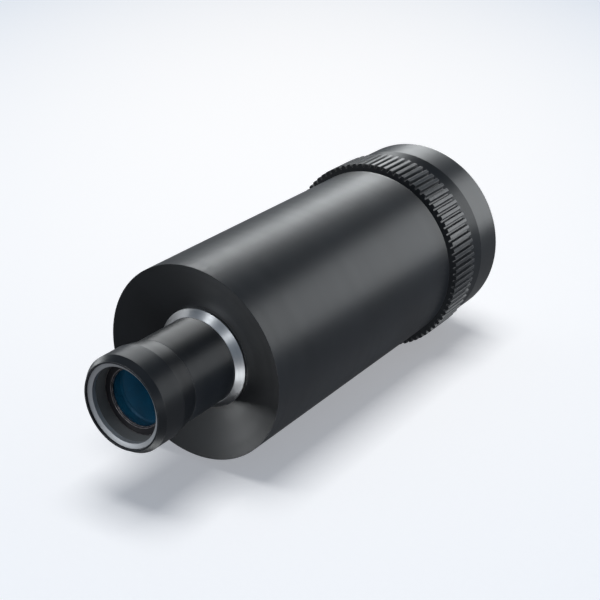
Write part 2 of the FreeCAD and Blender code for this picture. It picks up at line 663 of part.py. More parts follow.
def iris_blade(label, order):
    leaf_front = "(%s - Sizes.blade_gap - %d * %s)" % (plate_back, order, leaf_pitch)
    leaf_back = "(%s - Sizes.blade_thickness)" % leaf_front
    thickness = "Sizes.blade_thickness"
    drive_x = "%s + Sizes.lever_length * cos(%s)" % (pivot_circle, lever_angle)
    drive_y = "Sizes.lever_length * sin(%s)" % lever_angle
    disc = cylinder(label + "_disc", blade_outer, thickness, leaf_back, angle="Sizes.blade_angle")
    opening = cylinder(label + "_opening", blade_inner, thickness, leaf_back)
    leaf = cut(label + "_leaf", disc, opening)
    neck = box(label + "_neck", "Sizes.blade_inset + 2 * Sizes.eye_radius",
               "2 * Sizes.eye_radius", thickness,
               "%s - 2 * Sizes.eye_radius" % blade_outer, "-Sizes.eye_radius", leaf_back)
    eye = cylinder(label + "_eye", "Sizes.eye_radius", thickness, leaf_back, x=pivot_circle)
    lever = box(label + "_lever", "Sizes.lever_length", "Sizes.lever_width", thickness,
                "%s + Sizes.lever_width / 2 * sin(%s)" % (pivot_circle, lever_angle),
                "-Sizes.lever_width / 2 * cos(%s)" % lever_angle, leaf_back)
    lever.setExpression("Placement.Rotation.Angle", lever_angle)
    tip = cylinder(label + "_tip", "Sizes.lever_width / 2", thickness, leaf_back,
                   x=drive_x, y=drive_y)
    pivot_pin = cylinder(label + "_pivot_pin", "Sizes.pin_radius",
                         "%s + Sizes.pivot_pin_depth - %s" % (plate_back, leaf_back),
                         leaf_back, x=pivot_circle)
    drive_pin = cylinder(label + "_drive_pin", "Sizes.pin_radius",
                         "%s - %s + Sizes.drive_pin_depth" % (leaf_front, cam_front),
                         "%s - Sizes.drive_pin_depth" % cam_front, x=drive_x, y=drive_y)
    blade = fuse(label, [leaf, neck, eye, lever, tip, pivot_pin, drive_pin])
    blade.setExpression("Placement.Rotation.Angle",
                        "%s + %d * 360 deg / %d" % (first_pivot, order, BLADE_COUNT))
    return blade


for order in range(BLADE_COUNT):
    nodes.append(iris_blade("iris_blade_%d" % (order + 1), order))


# Cam ring: its curved slots swing all blades together as the aperture ring turns. Each
# slot is the arc through the drive pin's places at the start, middle and end of travel.
def drive_pin_place(share):
    """Place of the first blade's drive pin as the turned cam ring sees it."""
    swing = math.radians(-90 + number("Sizes.blade_swing") * (share - 0.5))
    x = number(pivot_circle) + number("Sizes.lever_length") * math.cos(swing)
    y = number("Sizes.lever_length") * math.sin(swing)
    place = FreeCAD.Vector(x, y, 0)
    back = FreeCAD.Rotation(FreeCAD.Vector(0, 0, 1), -number("Sizes.ring_turn_angle") * share)
    return back.multVec(place)


def cam_slot_shape():
    """Slot for one drive pin: two concentric arcs joined by round ends."""
    places = [drive_pin_place(share) for share in (0, 0.5, 1)]
    path = Part.Arc(*places).toShape().Curve
    start, middle, end = [(place - path.Center).normalize() for place in places]
    half = number("Sizes.pin_radius") + number("Sizes.slot_play")
    towards_end = end.cross(FreeCAD.Vector(0, 0, 1)) * half
    towards_start = FreeCAD.Vector(0, 0, 1).cross(start) * half

    def at(direction, offset):
        return path.Center + direction * (path.Radius + offset)

    outer = Part.Arc(at(start, half), at(middle, half), at(end, half))
    inner = Part.Arc(at(end, -half), at(middle, -half), at(start, -half))
    end_cap = Part.Arc(at(end, half), at(end, 0) + towards_end, at(end, -half))
    start_cap = Part.Arc(at(start, -half), at(start, 0) + towards_start, at(start, half))
    wire = Part.Wire([edge.toShape() for edge in (outer, end_cap, inner, start_cap)])
    return Part.Face(wire).extrude(FreeCAD.Vector(0, 0, number("Sizes.cam_thickness")))


def cam_slot(label):
    slot = doc.addObject("Part::Feature", label)
    slot.Shape = cam_slot_shape()
    slot.setExpression("Placement.Base.z", cam_back)
    return slot


cam_inner = "(%s + Sizes.cam_margin)" % iris_opening
cam_blank = ring("iris_cam_ring_blank", cam_inner, cam_outer, cam_back, cam_front)
cam_slots = around("cam_slots", BLADE_COUNT, cam_slot)
cam_slots.setExpression("Placement.Rotation.Angle", first_pivot)


def radial_pin(label, radius, inner, outer):
    """Cylinder along +X at the height of the ring pin."""
    item = doc.addObject("Part::Cylinder", label)
    item.Placement.Rotation = FreeCAD.Rotation(FreeCAD.Vector(0, 1, 0), 90)
    item.setExpression("Radius", radius)
    item.setExpression("Height", "%s - (%s)" % (outer, inner))
    item.setExpression("Placement.Base.x", inner)
    item.setExpression("Placement.Base.z", ring_pin_height)
    return item


ring_pin_inner = "%s - Sizes.ring_pin_grip" % cam_outer
pin_hole = radial_pin("ring_pin_hole", "Sizes.ring_pin_radius", ring_pin_inner, cam_outer)
nodes.append(cut("iris_cam_ring", cut("iris_cam_ring_slotted", cam_blank, cam_slots), pin_hole))

# Ring pin: screwed into the cam ring through the barrel slot, its end in the keyway
nodes.append(radial_pin("ring_pin", "Sizes.ring_pin_radius", ring_pin_inner,
                        "%s - Sizes.slip_fit" % keyway_end))

# Snap ring and threaded ring that close the iris housing and hold it in the barrel
nodes.append(ring("iris_snap_ring", "%s - Sizes.snap_ring_width" % iris_inner,
                  "%s + Sizes.snap_ring_groove" % iris_inner, snap_back, snap_front))
nodes.append(threaded_ring("iris_retainer", "%s - Sizes.iris_retainer_width" % iris_outer, iris_outer,
                           "(%s - Sizes.iris_retainer_length)" % iris_end, iris_end, slots_up=False))


# Baffle tube: a blackened tube with sharp inner edges, held by a threaded ring
tube_back = "(%s + Sizes.baffle_retainer_length)" % iris_seat
relay_back = "(%s - Sizes.relay_cell_length)" % relay_seat
bore_fit = "(%s - Sizes.slip_fit)" % barrel_bore
tube_inner = "(%s - Sizes.baffle_tube_wall)" % bore_fit
baffle_edge = "(%s - Sizes.baffle_height)" % tube_inner
nodes.append(threaded_ring("baffle_retainer", tube_inner, bore_fit, iris_seat, tube_back,
                           slots_up=False))
baffle_outline = [(tube_inner, tube_back), (bore_fit, tube_back), (bore_fit, relay_back),
                  (tube_inner, relay_back)]
for edge in range(BAFFLE_COUNT, 0, -1):
    edge_height = "(%s + %d * Sizes.baffle_pitch)" % (tube_back, edge)
    baffle_outline += [
        (tube_inner, "%s + Sizes.baffle_height" % edge_height),
        (baffle_edge, edge_height),
        (tube_inner, edge_height),
    ]
nodes.append(turned("baffle_tube", baffle_outline))

# Relay cell: doublet, spacer, single lens and retaining ring in a blackened tube
relay_cell_inner = "(%s - Sizes.relay_cell_wall)" % bore_fit
relay_glass = "(%s - Sizes.slip_fit)" % relay_cell_inner
relay_clear = "(%s - Sizes.relay_rim)" % relay_glass
relay_lip_back = "(%s - Sizes.relay_lip_thickness)" % relay_seat
nodes.append(turned("relay_cell", [
    (relay_cell_inner, relay_back),
    (bore_fit, relay_back),
    (bore_fit, relay_seat),
    (relay_clear, relay_seat),
    (relay_clear, relay_lip_back),
    (relay_cell_inner, relay_lip_back),
]))
relay_crown_back = "(%s - Sizes.relay_crown_edge)" % relay_lip_back
relay_flint_back = "(%s - Sizes.relay_flint_edge)" % relay_crown_back
relay_spacer_back = "(%s - Sizes.relay_spacer_length)" % relay_flint_back
relay_meniscus_back = "(%s - Sizes.relay_meniscus_edge)" % relay_spacer_back
nodes.append(lens("relay_crown", relay_glass, relay_crown_back, relay_lip_back,
                  "Sizes.relay_cement_sag", "Sizes.relay_crown_sag", top_clear=relay_clear))
nodes.append(lens("relay_flint", relay_glass, relay_flint_back, relay_crown_back,
                  "-Sizes.relay_flint_sag", "-Sizes.relay_cement_sag", bottom_clear=relay_clear))
nodes.append(ring("relay_spacer", relay_clear, relay_glass, relay_spacer_back, relay_flint_back))
nodes.append(lens("relay_meniscus", relay_glass, relay_meniscus_back, relay_spacer_back,
                  "Sizes.relay_meniscus_sag", "-Sizes.relay_flint_sag", relay_clear, relay_clear))
nodes.append(threaded_ring("relay_retainer", relay_clear, relay_glass, relay_back,
                           relay_meniscus_back, slots_up=False))


# Nose tube: screwed into the barrel, with a lip behind its doublet
cap_back = "(%s - Sizes.cap_length)" % nose_front
tube_front = "(%s + Sizes.cap_thread_length)" % cap_back
tube_thread = "(%s - Sizes.slip_fit)" % cap_thread
nose_lip_front = "(%s + Sizes.nose_lip_thickness)" % relay_seat
nodes.append(turned("nose_tube", [
    (nose_clear, relay_seat),
    ("%s - Sizes.slip_fit" % nose_thread, relay_seat),
    ("%s - Sizes.slip_fit" % nose_thread, dish_floor),
    ("Sizes.nose_tube_radius", dish_floor),
    ("Sizes.nose_tube_radius", cap_back),
    (tube_thread, cap_back),
    (tube_thread, tube_front),
    (nose_bore, tube_front),
    (nose_bore, nose_lip_front),
    (nose_clear, nose_lip_front),
]))

# Collar: a bare metal lock ring with a broad bevel, round the foot of the nose tube
collar_front = "(%s + Sizes.collar_length)" % dish_floor
nodes.append(turned("nose_collar", [
    (collar_bore, dish_floor),
    (collar_outer, dish_floor),
    (collar_outer, "%s - Sizes.collar_bevel_length" % collar_front),
    ("%s - Sizes.collar_bevel_depth" % collar_outer, collar_front),
    (collar_bore, collar_front),
]))

# Lenses of the nose tube, with a long spacer and a threaded ring
nose_glass = "(%s - Sizes.slip_fit)" % nose_bore
nose_flint_front = "(%s + Sizes.nose_flint_edge)" % nose_lip_front
nose_crown_front = "(%s + Sizes.nose_crown_edge)" % nose_flint_front
nose_spacer_front = "(%s - Sizes.nose_retainer_length)" % tube_front
nodes.append(lens("nose_flint", nose_glass, nose_lip_front, nose_flint_front,
                  "-Sizes.nose_flint_sag", "-Sizes.nose_cement_sag", bottom_clear=nose_clear))
nodes.append(lens("nose_crown", nose_glass, nose_flint_front, nose_crown_front,
                  "Sizes.nose_cement_sag", "Sizes.nose_crown_sag", top_clear=nose_clear))
nodes.append(ring("nose_spacer", nose_clear, nose_glass, nose_crown_front, nose_spacer_front))
nodes.append(threaded_ring("nose_retainer", nose_clear, nose_glass, nose_spacer_front, tube_front,
                           slots_up=True))


# Nose cap: screwed on the tube, with a lip behind the front lens and a flared mouth
lip_front = "(%s + Sizes.cap_lip_thickness)" % tube_front
glass_front = "(%s + Sizes.front_lens_edge)" % lip_front
retainer_front = "(%s + Sizes.front_retainer_length)" % glass_front
insert_front = "(%s - Sizes.insert_recess)" % nose_front
insert_back = "(%s - Sizes.insert_length)" % insert_front
insert_outer = "(%s - Sizes.insert_inset)" % cap_outer
insert_bore = "(%s - Sizes.insert_width)" % insert_outer
throat = "(%s - Sizes.mouth_flare)" % insert_bore
front_glass = "(%s - Sizes.front_lens_step)" % throat
front_clear = "(%s - Sizes.front_rim)" % front_glass
nodes.append(turned("nose_cap", [
    (cap_thread, cap_back),
    ("Sizes.nose_tube_radius", cap_back),
    (cap_outer, "%s + Sizes.cap_cone_length" % cap_back),
    (cap_outer, "%s - Sizes.cap_bevel_length" % nose_front),
    ("%s - Sizes.cap_bevel_depth" % cap_outer, nose_front),
    ("%s + Sizes.slip_fit" % insert_outer, nose_front),
    ("%s + Sizes.slip_fit" % insert_outer, insert_back),
    (insert_bore, insert_back),
    (throat, retainer_front),
    (throat, glass_front),
    ("%s + Sizes.slip_fit" % front_glass, glass_front),
    ("%s + Sizes.slip_fit" % front_glass, lip_front),
    (front_clear, lip_front),
    (front_clear, tube_front),
    (cap_thread, tube_front),
]))
nodes.append(lens("front_lens", front_glass, lip_front, glass_front,
                  "-Sizes.front_lens_back_sag", "Sizes.front_lens_sag", front_clear, front_clear))
front_retainer_outer = "(%s - Sizes.slip_fit)" % throat
nodes.append(turned("front_retainer", [
    (front_clear, glass_front),
    (front_retainer_outer, glass_front),
    (front_retainer_outer, "%s - Sizes.front_retainer_chamfer" % retainer_front),
    ("%s - Sizes.front_retainer_chamfer" % front_retainer_outer, retainer_front),
    ("%s + Sizes.front_retainer_bevel" % front_clear, retainer_front),
    (front_clear, "%s - Sizes.front_retainer_bevel" % retainer_front),
]))

# Insert ring: bare metal, let into the mouth of the cap, sloping inwards
nodes.append(turned("front_insert_ring", [
    (insert_bore, insert_back),
    (insert_outer, insert_back),
    (insert_outer, insert_front),
    (insert_bore, "%s - Sizes.insert_slope" % insert_front),
]))


# Every object is checked before anything is written
doc.recompute()
for item in doc.Objects:
    if "Invalid" in item.State or "Error" in item.State:
        raise RuntimeError("%s failed: %s" % (item.Label, item.State))
for node in nodes:
    if node.Shape.isNull() or not node.Shape.isValid() or not node.Shape.Solids:
        raise RuntimeError("%s has no valid solid" % node.Label)

os.makedirs("parts", exist_ok=True)
for node in nodes:
    node.Shape.exportStep("parts/%s.step" % node.Label)
print("nodes:", len(nodes))
for node in nodes:
    bounds = node.Shape.BoundBox
    print("%-20s solids %d  volume %9.1f  z %7.2f to %7.2f  r %5.2f" % (
        node.Label, len(node.Shape.Solids), node.Shape.Volume, bounds.ZMin, bounds.ZMax, bounds.XMax))
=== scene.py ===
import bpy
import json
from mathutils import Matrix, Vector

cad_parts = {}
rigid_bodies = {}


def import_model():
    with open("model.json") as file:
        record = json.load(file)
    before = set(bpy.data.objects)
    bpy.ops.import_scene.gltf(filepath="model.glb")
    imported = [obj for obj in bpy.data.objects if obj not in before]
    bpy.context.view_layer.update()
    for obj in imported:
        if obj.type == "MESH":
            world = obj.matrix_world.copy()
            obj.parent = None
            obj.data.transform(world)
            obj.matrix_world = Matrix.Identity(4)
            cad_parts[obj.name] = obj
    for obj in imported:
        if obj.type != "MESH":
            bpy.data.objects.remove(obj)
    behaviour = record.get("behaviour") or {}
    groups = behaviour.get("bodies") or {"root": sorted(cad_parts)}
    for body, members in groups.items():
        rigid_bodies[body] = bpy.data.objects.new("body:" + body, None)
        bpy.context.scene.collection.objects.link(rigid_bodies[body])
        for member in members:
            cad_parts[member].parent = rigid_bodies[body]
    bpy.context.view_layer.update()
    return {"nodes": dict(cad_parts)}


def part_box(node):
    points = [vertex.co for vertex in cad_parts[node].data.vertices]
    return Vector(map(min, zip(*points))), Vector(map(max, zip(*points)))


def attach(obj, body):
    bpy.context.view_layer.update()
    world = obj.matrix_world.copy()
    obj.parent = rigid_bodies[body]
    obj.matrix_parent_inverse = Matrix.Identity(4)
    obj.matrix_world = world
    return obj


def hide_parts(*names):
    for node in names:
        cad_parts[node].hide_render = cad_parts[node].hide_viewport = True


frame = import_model()

import json
import math

import bmesh
import bpy
from mathutils import Matrix, Vector


# Main barrel. One length of aluminium, turned on a lathe, blasted with fine beads and anodised
# black. It carries every other piece. Its dished front face keeps the rings of the facing tool.
def new_material(name):
    """Empty node material."""
    material = bpy.data.materials.new(name)
    material.use_nodes = True
    material.node_tree.nodes.clear()
    return material


def add(tree, kind, sockets=None, **settings):
    """Shader node with its settings, and its inputs set or linked by name or number."""
    node = tree.nodes.new("ShaderNode" + kind)
    for name, value in settings.items():
        setattr(node, name, value)
    for name, value in (sockets or {}).items():
        if isinstance(value, bpy.types.NodeSocket):
            tree.links.new(value, node.inputs[name])
        else:
            node.inputs[name].default_value = value
    return node


def new_group(name, inputs, outputs):
    """Node group with named inputs, each with a value, and named outputs."""
    tree = bpy.data.node_groups.new(name, "ShaderNodeTree")
    for socket_name, value in inputs.items():
        socket = tree.interface.new_socket(socket_name, in_out="INPUT", socket_type="NodeSocketFloat")
        socket.default_value = value
    for socket_name, kind in outputs.items():
        tree.interface.new_socket(socket_name, in_out="OUTPUT", socket_type="NodeSocket" + kind)
    return tree, tree.nodes.new("NodeGroupInput").outputs, tree.nodes.new("NodeGroupOutput").inputs


def place_group(tree, group, **values):
    """A node group placed in a material, with its own values."""
    node = tree.nodes.new("ShaderNodeGroup")
    node.node_tree = group
    for name, value in values.items():
        node.inputs[name].default_value = value
    return node.outputs


def colour_ramp(tree, factor, low, high, start=0.35, end=0.65):
    """Two colours spread over a stretch of a mask."""
    ramp = add(tree, "ValToRGB", {0: factor})
    ramp.color_ramp.elements[0].position = start
    ramp.color_ramp.elements[0].color = (*low, 1.0)
    ramp.color_ramp.elements[1].position = end
    ramp.color_ramp.elements[1].color = (*high, 1.0)
    return ramp.outputs[0]


def shades(colour, darker, lighter):
    """The same colour, a little darker and a little lighter."""
    return [darker * part for part in colour], [lighter * part for part in colour]


def stretch(tree, value, low, high, start=0.3, end=0.7):
    """A mask spread over a range of values."""
    return add(tree, "MapRange", {0: value, 1: start, 2: end, 3: low, 4: high}).outputs[0]


BROAD_RINGS = 0.07                # how often the broad rings come, against the fine ones
BROAD_SHARE = 0.6


def make_lathe_rings():
    """Rings left by the turning tool: they run round the optical axis on sides and faces alike."""
    tree, given, out = new_group("lathe rings", {"Spacing": 0.0003}, {"Height": "Float", "Sheen": "Float"})
    place = add(tree, "TexCoord").outputs["Object"]
    split = add(tree, "SeparateXYZ", {0: place}).outputs
    square_x = add(tree, "Math", {0: split["X"], 1: split["X"]}, operation="MULTIPLY").outputs[0]
    square = add(tree, "Math", {0: split["Y"], 1: split["Y"], 2: square_x},
                 operation="MULTIPLY_ADD").outputs[0]
    radius = add(tree, "Math", {0: square}, operation="SQRT").outputs[0]
    along = add(tree, "Math", {0: radius, 1: split["Z"]}, operation="ADD").outputs[0]
    rings = add(tree, "Math", {0: along, 1: given["Spacing"]}, operation="DIVIDE").outputs[0]
    fine = add(tree, "TexNoise", {"W": rings, "Scale": 1.0, "Detail": 3.0, "Roughness": 0.7},
               noise_dimensions="1D").outputs[0]
    broad = add(tree, "TexNoise", {"W": rings, "Scale": BROAD_RINGS, "Detail": 2.0},
                noise_dimensions="1D").outputs[0]
    sheen = add(tree, "Mix", {0: BROAD_SHARE, 2: fine, 3: broad}, data_type="FLOAT").outputs[0]
    tree.links.new(fine, out["Height"])
    tree.links.new(sheen, out["Sheen"])
    return tree


def make_blasted_grain():
    """Fine pits of bead blasting, with soft patches where the surface took a little more dye."""
    tree, given, out = new_group("blasted grain", {"Grain": 6000.0, "Patches": 40.0},
                                 {"Height": "Float", "Patch": "Float"})
    place = add(tree, "TexCoord").outputs["Object"]
    pits = add(tree, "TexNoise", {"Vector": place, "Scale": given["Grain"], "Detail": 2.0}).outputs[0]
    cloud = add(tree, "TexNoise", {"Vector": place, "Scale": given["Patches"], "Detail": 4.0}).outputs[0]
    tree.links.new(pits, out["Height"])
    tree.links.new(cloud, out["Patch"])
    return tree


EDGE_BEGINS = 0.99                # likeness of the rounded normal to that of the flat face
EDGE_FULL = 0.86


def make_worn_edge():
    """Broken sharp edges: their rounded normal, and a mask of where handling thins the finish."""
    tree, given, out = new_group("worn edge", {"Width": 0.0002, "Breakup": 900.0},
                                 {"Mask": "Float", "Normal": "Vector"})
    rounded = add(tree, "Bevel", {"Radius": given["Width"]}, samples=4).outputs[0]
    flat = add(tree, "NewGeometry").outputs["Normal"]
    likeness = add(tree, "VectorMath", {0: rounded, 1: flat}, operation="DOT_PRODUCT").outputs["Value"]
    edge = add(tree, "MapRange", {0: likeness, 1: EDGE_BEGINS, 2: EDGE_FULL, 3: 0.0, 4: 1.0}).outputs[0]
    place = add(tree, "TexCoord").outputs["Object"]
    broken = add(tree, "TexNoise", {"Vector": place, "Scale": given["Breakup"], "Detail": 3.0}).outputs[0]
    kept = stretch(tree, broken, 0.2, 1.0, 0.35, 0.65)
    mask = add(tree, "Math", {0: edge, 1: kept}, operation="MULTIPLY").outputs[0]
    tree.links.new(mask, out["Mask"])
    tree.links.new(rounded, out["Normal"])
    return tree


lathe_rings = make_lathe_rings()
blasted_grain = make_blasted_grain()
worn_edge = make_worn_edge()


def finish_material(material, shader):
    """The shader goes to the material's output."""
    output = material.node_tree.nodes.new("ShaderNodeOutputMaterial")
    material.node_tree.links.new(shader.outputs[0], output.inputs["Surface"])
    return material


DYED_BLACK = (0.0060, 0.0074, 0.0098)
THIN_DYE = (0.06, 0.06, 0.065)
DYE_PATCHES = (0.82, 1.22)        # darker and lighter, against the colour itself
DYE_SHEEN = 0.025                 # how far the turning rings change the roughness
SATIN_GLOSS = 0.3
RING_DEPTH = 0.000002
BEAD_DEPTH = 0.000003


def anodised(name, colour, roughness, spacing=0.0003):
    """Black anodised aluminium: blasted grain, turning rings, patches in the dye and thinned edges."""
    material = new_material(name)
    tree = material.node_tree
    rings = place_group(tree, lathe_rings, Spacing=spacing)
    grain = place_group(tree, blasted_grain)
    edge = place_group(tree, worn_edge)
    dyed = colour_ramp(tree, grain["Patch"], *shades(colour, *DYE_PATCHES))
    base = add(tree, "Mix", {0: edge["Mask"], 6: dyed, 7: (*THIN_DYE, 1.0)}, data_type="RGBA").outputs[2]
    sheen = stretch(tree, rings["Sheen"], roughness - DYE_SHEEN, roughness + DYE_SHEEN)
    turned = add(tree, "Bump", {"Height": rings["Height"], "Distance": RING_DEPTH, "Normal": edge["Normal"]})
    blasted = add(tree, "Bump", {"Height": grain["Height"], "Distance": BEAD_DEPTH,
                                 "Normal": turned.outputs[0]})
    shader = add(tree, "BsdfPrincipled", {"Base Color": base, "Roughness": sheen,
                                          "Normal": blasted.outputs[0],
                                          "Specular IOR Level": SATIN_GLOSS})
    return finish_material(material, shader)


def give(material, *nodes):
    """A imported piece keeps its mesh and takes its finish."""
    for node in nodes:
        for slot in frame["nodes"][node].material_slots:
            slot.material = material


satin_black = anodised("satin black", DYED_BLACK, 0.37)
give(satin_black, "main_barrel")


# Baffle tube and its threaded ring. Thin turned aluminium, blackened dull so that it swallows stray
# light. The tube slides into the barrel and the ring holds it.
DULL_GRAIN = 3000.0               # pits a metre
DULL_PATCHES = (0.8, 1.2)
DULL_SHEEN = 0.05
GRIT_DEPTH = 0.00001


def blackened(name, colour, roughness, worn=(0.05, 0.05, 0.055), edge_width=0.00015):
    """Dull black inside finish, with a thin line of metal along the sharp edges."""
    material = new_material(name)
    tree = material.node_tree
    grain = place_group(tree, blasted_grain, Grain=DULL_GRAIN)
    edge = place_group(tree, worn_edge, Width=edge_width)
    dyed = colour_ramp(tree, grain["Patch"], *shades(colour, *DULL_PATCHES))
    base = add(tree, "Mix", {0: edge["Mask"], 6: dyed, 7: (*worn, 1.0)}, data_type="RGBA").outputs[2]
    dull = stretch(tree, grain["Patch"], roughness - DULL_SHEEN, roughness + DULL_SHEEN)
    bump = add(tree, "Bump", {"Height": grain["Height"], "Distance": GRIT_DEPTH, "Normal": edge["Normal"]})
    shader = add(tree, "BsdfPrincipled", {"Base Color": base, "Roughness": dull, "Normal": bump.outputs[0],
                                          "Specular IOR Level": SATIN_GLOSS})
    return finish_material(material, shader)


inner_black = blackened("inner black", (0.012, 0.012, 0.013), 0.62)
give(inner_black, "baffle_tube", "baffle_retainer")


# Relay cell. A blackened aluminium cell screwed into the barrel, with a spacer and a threaded ring
# that hold its lenses.
give(inner_black, "relay_cell", "relay_spacer", "relay_retainer")


# Relay, rear and nose lenses. Ground and polished optical glass, cemented in pairs or single, with
# a blue coating against reflections on every face.
GLASS_POLISH = 0.03
GLASS_BENDING = 1.52
FILM_CLOUDS = 220.0               # clouds in the coating, to a metre
FILM_PATCHES = (0.7, 1.1)


def coated_glass(name, body, tint, clear, mirror=0.5):
    """Glass with a coating that is a little cloudy. Part of the light goes through, as clear says."""
    material = new_material(name)
    tree = material.node_tree
    film = place_group(tree, blasted_grain, Patches=FILM_CLOUDS)
    coat = colour_ramp(tree, film["Patch"], *shades(body, *FILM_PATCHES))
    shader = add(tree, "BsdfPrincipled", {"Base Color": coat, "Roughness": GLASS_POLISH,
                                          "IOR": GLASS_BENDING, "Transmission Weight": clear,
                                          "Specular IOR Level": mirror, "Specular Tint": (*tint, 1.0)})
    return finish_material(material, shader)


inner_glass = coated_glass("inner glass", (0.30, 0.62, 0.82), (0.10, 0.45, 0.90), 1.0)
give(inner_glass, "relay_crown", "relay_flint", "relay_meniscus")
give(inner_glass, "rear_meniscus", "rear_flint", "rear_crown")
give(inner_glass, "nose_flint", "nose_crown")


# Iris housing and its threaded ring. A blackened aluminium ring with the plate that the blades
# pivot on, held in the barrel.
give(inner_black, "iris_housing", "iris_retainer")


# Iris blades. Six thin leaves of blued spring steel, stamped to shape. Each has two riveted pins:
# one turns in the plate of the housing, and the other runs in a slot of the cam ring.
METAL_RING_DEPTH = 0.0000025
METAL_CLOUDS = 120.0
METAL_PATCHES = (0.9, 1.0)
METAL_SMOOTHER = 0.05
METAL_ROUGHER = 0.06
METAL_EDGE = 0.00012
RUBBED = 1.25                     # how much brighter a rubbed edge is


def bare_metal(name, colour, roughness, spacing=0.00012):
    """Turned bare metal: tool rings break up its reflections, and its edges are rubbed brighter."""
    material = new_material(name)
    tree = material.node_tree
    rings = place_group(tree, lathe_rings, Spacing=spacing)
    patches = place_group(tree, blasted_grain, Patches=METAL_CLOUDS)
    edge = place_group(tree, worn_edge, Width=METAL_EDGE)
    mottled = colour_ramp(tree, patches["Patch"], *shades(colour, *METAL_PATCHES))
    rubbed = [min(1.0, RUBBED * part) for part in colour]
    base = add(tree, "Mix", {0: edge["Mask"], 6: mottled, 7: (*rubbed, 1.0)}, data_type="RGBA").outputs[2]
    sheen = stretch(tree, rings["Sheen"], roughness - METAL_SMOOTHER, roughness + METAL_ROUGHER)
    bump = add(tree, "Bump", {"Height": rings["Height"], "Distance": METAL_RING_DEPTH,
                              "Normal": edge["Normal"]})
    shader = add(tree, "BsdfPrincipled", {"Base Color": base, "Metallic": 1.0, "Roughness": sheen,
                                          "Normal": bump.outputs[0]})
    return finish_material(material, shader)


BLADES = 6
blade_steel = bare_metal("blade steel", (0.07, 0.072, 0.075), 0.42)
for blade in range(1, BLADES + 1):
    give(blade_steel, "iris_blade_%d" % blade)


# Cam ring of the iris. Turned brass, with a curved slot for the drive pin of each blade. A steel
# pin joins it to the aperture ring, and a spring steel snap ring keeps it in its seat.
turned_brass = bare_metal("turned brass", (0.62, 0.45, 0.20), 0.30)
dark_steel = bare_metal("dark steel", (0.16, 0.16, 0.17), 0.35)
give(turned_brass, "iris_cam_ring")
give(dark_steel, "ring_pin", "iris_snap_ring")


# Aperture ring. Turned aluminium with milled ribs for the fingers, anodised black. It turns on the
# barrel and works the iris.
rib_black = anodised("rib black", (0.016, 0.0175, 0.020), 0.31)
give(rib_black, "aperture_ring")


# Friction washer. A thin moulded ring of pale sliding plastic. It lies loose behind the aperture
# ring and makes it turn evenly.
sliding_plastic = blackened("sliding plastic", (0.62, 0.60, 0.56), 0.5, worn=(0.70, 0.68, 0.64))
give(sliding_plastic, "friction_washer")


# Nose tube and nose cap. Turned aluminium, anodised to a slightly finer satin. The tube screws into
# the barrel and the cap screws onto the tube. A blackened spacer and a threaded ring in the tube
# hold its lenses.
FINE_FEED = 0.00022               # from one turning ring to the next
BORE_RADIUS = 0.0111
BORE_PAINTED_LIGHTER = (0.080, 0.084, 0.088)


def paint_bore_lighter(material, metal):
    """The wall of the bore is painted a lighter grey than the dye, as painted light on that wall."""
    tree = material.node_tree
    shader = next(node for node in tree.nodes if node.type == "BSDF_PRINCIPLED")
    place = add(tree, "TexCoord").outputs["Object"]
    across = add(tree, "VectorMath", {0: place, 1: (1.0, 1.0, 0.0)}, operation="MULTIPLY").outputs[0]
    radius = add(tree, "VectorMath", {0: across}, operation="LENGTH").outputs["Value"]
    inside = add(tree, "Math", {0: radius, 1: BORE_RADIUS}, operation="LESS_THAN").outputs[0]
    dyed = shader.inputs["Base Color"].links[0].from_socket
    base = add(tree, "Mix", {0: inside, 6: dyed, 7: (*metal, 1.0)}, data_type="RGBA").outputs[2]
    tree.links.new(base, shader.inputs["Base Color"])


fine_black = anodised("fine satin black", DYED_BLACK, 0.36, spacing=FINE_FEED)
cap_black = anodised("cap black", DYED_BLACK, 0.36, spacing=FINE_FEED)
# The cap's bore takes a lighter grey: painted light on its wall.
paint_bore_lighter(cap_black, BORE_PAINTED_LIGHTER)
give(fine_black, "nose_tube")
give(cap_black, "nose_cap")
give(inner_black, "nose_spacer", "nose_retainer")


# Nose collar. A lock ring of bare aluminium with a broad turned bevel, screwed down at the foot of
# the nose tube.
bright_aluminium = bare_metal("bright aluminium", (0.78, 0.785, 0.80), 0.32)
give(bright_aluminium, "nose_collar")


# Insert ring. Bare aluminium with a bevel, turned to a fine matt. It is pressed into the mouth of
# the cap, in front of the lens.
matt_aluminium = bare_metal("matt aluminium", (0.62, 0.63, 0.65), 0.55, spacing=0.00009)
give(matt_aluminium, "front_insert_ring")


# Front lens. A window of coated glass at the mouth, deep blue green where the coating throws light
# back.
front_glass = coated_glass("front glass", (0.003, 0.066, 0.130), (0.03, 0.42, 0.90), 0.5, mirror=0.38)
give(front_glass, "front_lens")


# Front retainer. A threaded ring of blackened aluminium over the rim of the lens. Its turned edges show a
# hair line of worn metal, painted bright and pinkish as a painted highlight.
# The bright colour along the worn edges is a painted highlight.
black_with_painted_hairline = blackened("edged black", (0.016, 0.015, 0.018), 0.45, worn=(0.90, 0.82, 0.84),
                        edge_width=0.00024)
give(black_with_painted_hairline, "front_retainer")


# Rear cell. A blackened aluminium cell inside the rear housing, with a spacer and a threaded ring
# that hold its lenses.
give(inner_black, "rear_cell", "rear_spacer", "rear_retainer")


# Rear housing. Turned aluminium, anodised black, with a smooth grip and a cone. It screws onto the
# end of the barrel.
housing_black = anodised("housing black", (0.0075, 0.0088, 0.0108), 0.34)
give(housing_black, "rear_housing")


# Camera mount. Turned stainless steel with a flange and a fine camera thread, which is cut last.
# It is held to the housing by screws.
THREAD_PITCH = 0.001
THREAD_DEPTH = 0.00054
ROWS_A_PITCH = 24
RUN_OUT = 0.0005
NEARLY = 0.00001
CREASE = math.radians(30)


